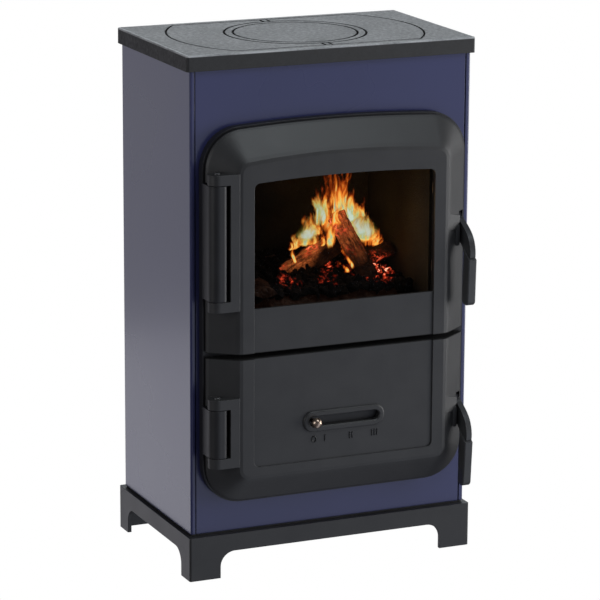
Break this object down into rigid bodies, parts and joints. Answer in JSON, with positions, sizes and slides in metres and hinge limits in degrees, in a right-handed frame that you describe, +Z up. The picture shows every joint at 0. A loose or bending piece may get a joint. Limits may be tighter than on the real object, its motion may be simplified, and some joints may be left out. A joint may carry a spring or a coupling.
{
  "type": "wood burning stove",
  "caption": "Free-standing stove with a cast hob, two hinged doors with lever handles, a glass window, an air slider, an arched base, a rear flue collar and logs on its grate.",
  "frame": {"origin": "on the floor, under the middle of the stove", "axes": "+X to the right seen from the front, -Y out of the front, +Z up"},
  "size_m": [0.468, 0.4153, 0.8],
  "materials": {
    "base_cast": "satin, fine cast grain",
    "hob_cast": "satin blacked, fine cast grain",
    "door_cast": "satin stove black, fine cast grain",
    "frame_cast": "satin stove black",
    "handle_cast": "satin black",
    "grate_cast": "heat stained, matte",
    "flue_cast": "satin black",
    "blue_enamel": "glossy vitreous enamel, deep blue",
    "black_sheet": "matte black",
    "firebox_steel": "sooty matte steel plate",
    "firebrick": "matte vermiculite board, sooty",
    "window_glass": "clear ceramic glass, slightly smoked",
    "gasket_fibre": "flat woven glass fibre tape",
    "seal_rope": "knitted glass fibre rope",
    "clip_steel": "pressed sheet",
    "screw_steel": "blackened machine screws",
    "pin_steel": "turned steel pins",
    "slider_steel": "dark sheet steel",
    "knob_brass": "polished",
    "log_wood": "split logs, charred"
  },
  "bodies": {
    "stove": {"base": "base_cast", "top_plate": "hob_cast", "door_frame": "frame_cast", "latch_keepers": "frame_cast", "grate": "grate_cast", "log_guard": "grate_cast", "flue_collar": "flue_cast", "side_panel_left": "blue_enamel", "side_panel_right": "blue_enamel", "front_panel": "blue_enamel", "rear_panel": "black_sheet", "base_plate": "black_sheet", "ash_pan": "black_sheet", "shell_left": "firebox_steel", "shell_right": "firebox_steel", "shell_back": "firebox_steel", "shell_front": "firebox_steel", "shell_floor": "firebox_steel", "grate_shelf": "firebox_steel", "firebrick_left": "firebrick", "firebrick_right": "firebrick", "firebrick_back": "firebrick", "baffle": "firebrick", "rear_panel_screws": "screw_steel", "flue_screws": "screw_steel", "firewood": "log_wood"},
    "upper_door": {"upper_door": "door_cast", "upper_hinge_pin": "pin_steel", "upper_door_seal": "seal_rope", "door_glass": "window_glass", "glass_gasket": "gasket_fibre", "glass_clips": "clip_steel", "glass_screws": "screw_steel", "upper_handle_pivot": "pin_steel"},
    "upper_handle": {"upper_handle": "handle_cast"},
    "lower_door": {"lower_door": "door_cast", "lower_hinge_pin": "pin_steel", "lower_door_seal": "seal_rope", "slider_rails": "clip_steel", "rail_screws": "screw_steel", "lower_handle_pivot": "pin_steel"},
    "lower_handle": {"lower_handle": "handle_cast"},
    "slider": {"air_slider": "slider_steel", "slider_knob": "knob_brass"},
    "hob_insert": {"hob_insert": "hob_cast"},
    "hob_ring": {"hob_ring": "hob_cast"},
    "hob_lid": {"hob_lid": "hob_cast"}
  },
  "joints": [
    {"name": "upper_door_hinge", "type": "hinge", "parent": "stove", "child": "upper_door", "pos_m": [-0.201, -0.176, 0.5275], "axis": [0, 0, -1], "range_deg": [0, 115]},
    {"name": "upper_handle_pivot", "type": "hinge", "parent": "upper_door", "child": "upper_handle", "pos_m": [0.203, -0.163, 0.521], "axis": [-1, 0, 0], "range_deg": [0, 35]},
    {"name": "lower_door_hinge", "type": "hinge", "parent": "stove", "child": "lower_door", "pos_m": [-0.201, -0.176, 0.239], "axis": [0, 0, -1], "range_deg": [0, 115]},
    {"name": "lower_handle_pivot", "type": "hinge", "parent": "lower_door", "child": "lower_handle", "pos_m": [0.203, -0.163, 0.236], "axis": [-1, 0, 0], "range_deg": [0, 35]},
    {"name": "air_slide", "type": "slide", "parent": "lower_door", "child": "slider", "axis": [1, 0, 0], "range_m": [0, 0.1]},
    {"name": "hob_insert_lift", "type": "slide", "parent": "stove", "child": "hob_insert", "axis": [0, 0, 1], "range_m": [0, 0.08]},
    {"name": "hob_ring_lift", "type": "slide", "parent": "hob_insert", "child": "hob_ring", "axis": [0, 0, 1], "range_m": [0, 0.08]},
    {"name": "hob_lid_lift", "type": "slide", "parent": "hob_ring", "child": "hob_lid", "axis": [0, 0, 1], "range_m": [0, 0.08]}
  ]
}
